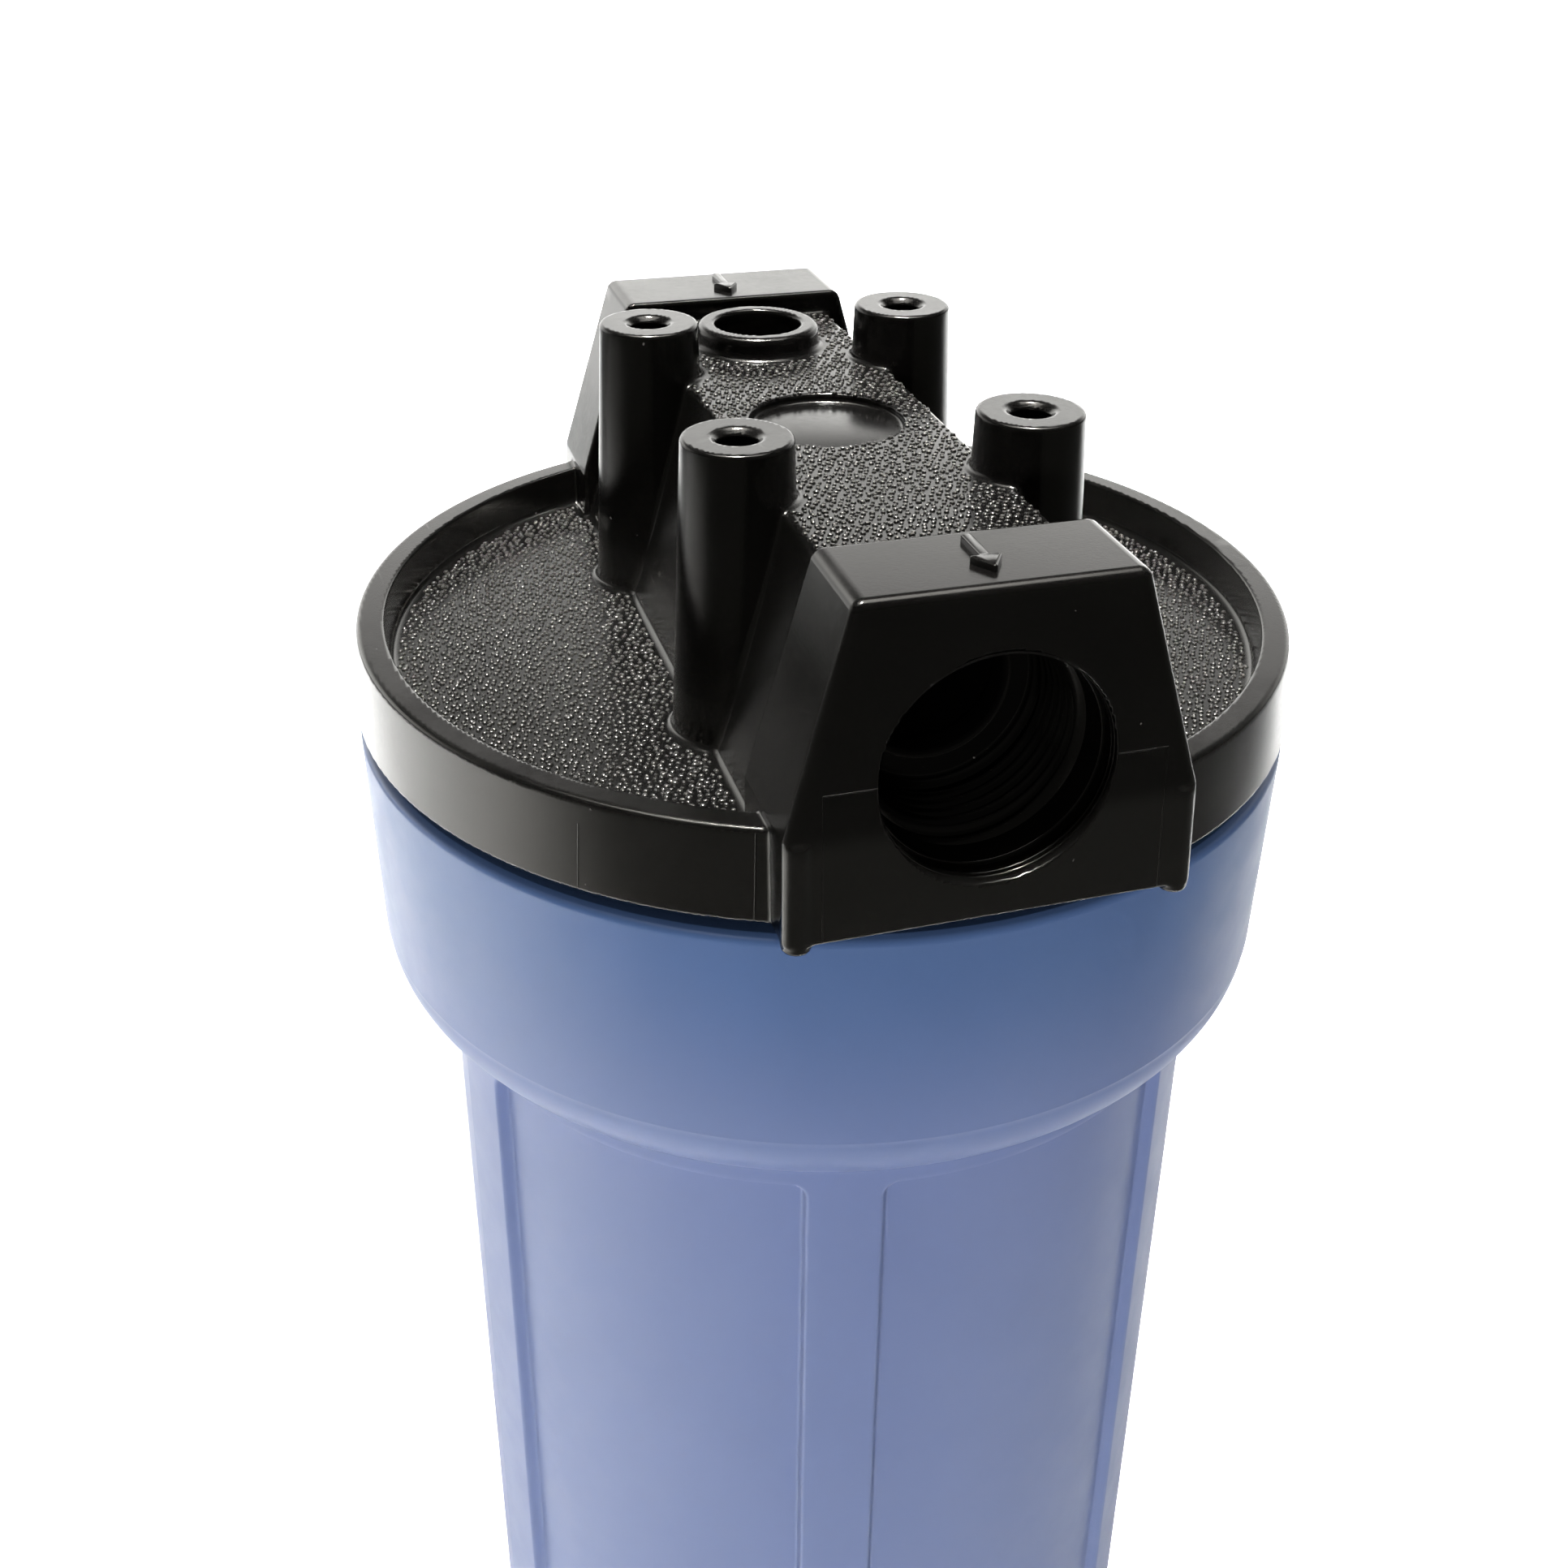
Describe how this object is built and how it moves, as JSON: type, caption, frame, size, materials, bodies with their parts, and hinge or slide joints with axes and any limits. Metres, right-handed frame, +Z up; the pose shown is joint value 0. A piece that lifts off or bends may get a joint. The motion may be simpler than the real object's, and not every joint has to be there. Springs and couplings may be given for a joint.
{
  "type": "cartridge filter housing",
  "caption": "Inline cartridge filter housing: black moulded cap with two pipe ports, ribbed blue screw-on sump, relief button and a pleated cartridge inside.",
  "frame": {"origin": "centre of the flat base ring under the sump", "axes": "+Z up along the housing's axis towards the cap; the outlet port faces -Y and the inlet port faces +Y"},
  "size_m": [0.1236, 0.1252, 0.311],
  "materials": {
    "black_plastic": "satin moulded polypropylene, pebbled on the recessed disc and ridge",
    "button_plastic": "satin",
    "blue_plastic": "semi-gloss moulded polypropylene",
    "rubber": "matte",
    "spring_steel": "bright drawn wire",
    "white_plastic": "satin",
    "filter_media": "matt non-woven",
    "net_plastic": "matte extruded net"
  },
  "bodies": {
    "head": {"cap": "black_plastic", "sump_o_ring": "rubber", "relief_spring": "spring_steel"},
    "relief_valve": {"relief_button": "button_plastic", "relief_stem": "white_plastic", "relief_o_ring": "rubber"},
    "cartridge": {"cartridge_bottom_gasket": "rubber", "cartridge_top_gasket": "rubber", "cartridge_bottom_cap": "white_plastic", "cartridge_top_cap": "white_plastic", "cartridge_core": "white_plastic", "pleated_media": "filter_media", "outer_net": "net_plastic"},
    "sump": {"sump": "blue_plastic"}
  },
  "joints": [
    {"name": "relief_press", "type": "slide", "parent": "head", "child": "relief_valve", "axis": [0, 0, 1], "range_m": [-0.0018, 0], "stiffness_N_per_m": 300, "springref_m": 0.003, "deforming": ["relief_spring"]},
    {"name": "sump_drop", "type": "slide", "parent": "head", "child": "cartridge", "axis": [0, 0, 1], "range_m": [-0.0181, 0]},
    {"name": "sump_turn", "type": "hinge", "parent": "cartridge", "child": "sump", "pos_m": [0, 0, 0], "axis": [0, 0, 1], "range_deg": [-1080, 0]}
  ],
  "couplings": [
    {"joint": "sump_drop", "follows": "sump_turn", "m_per_rad": 0.00095493}
  ]
}
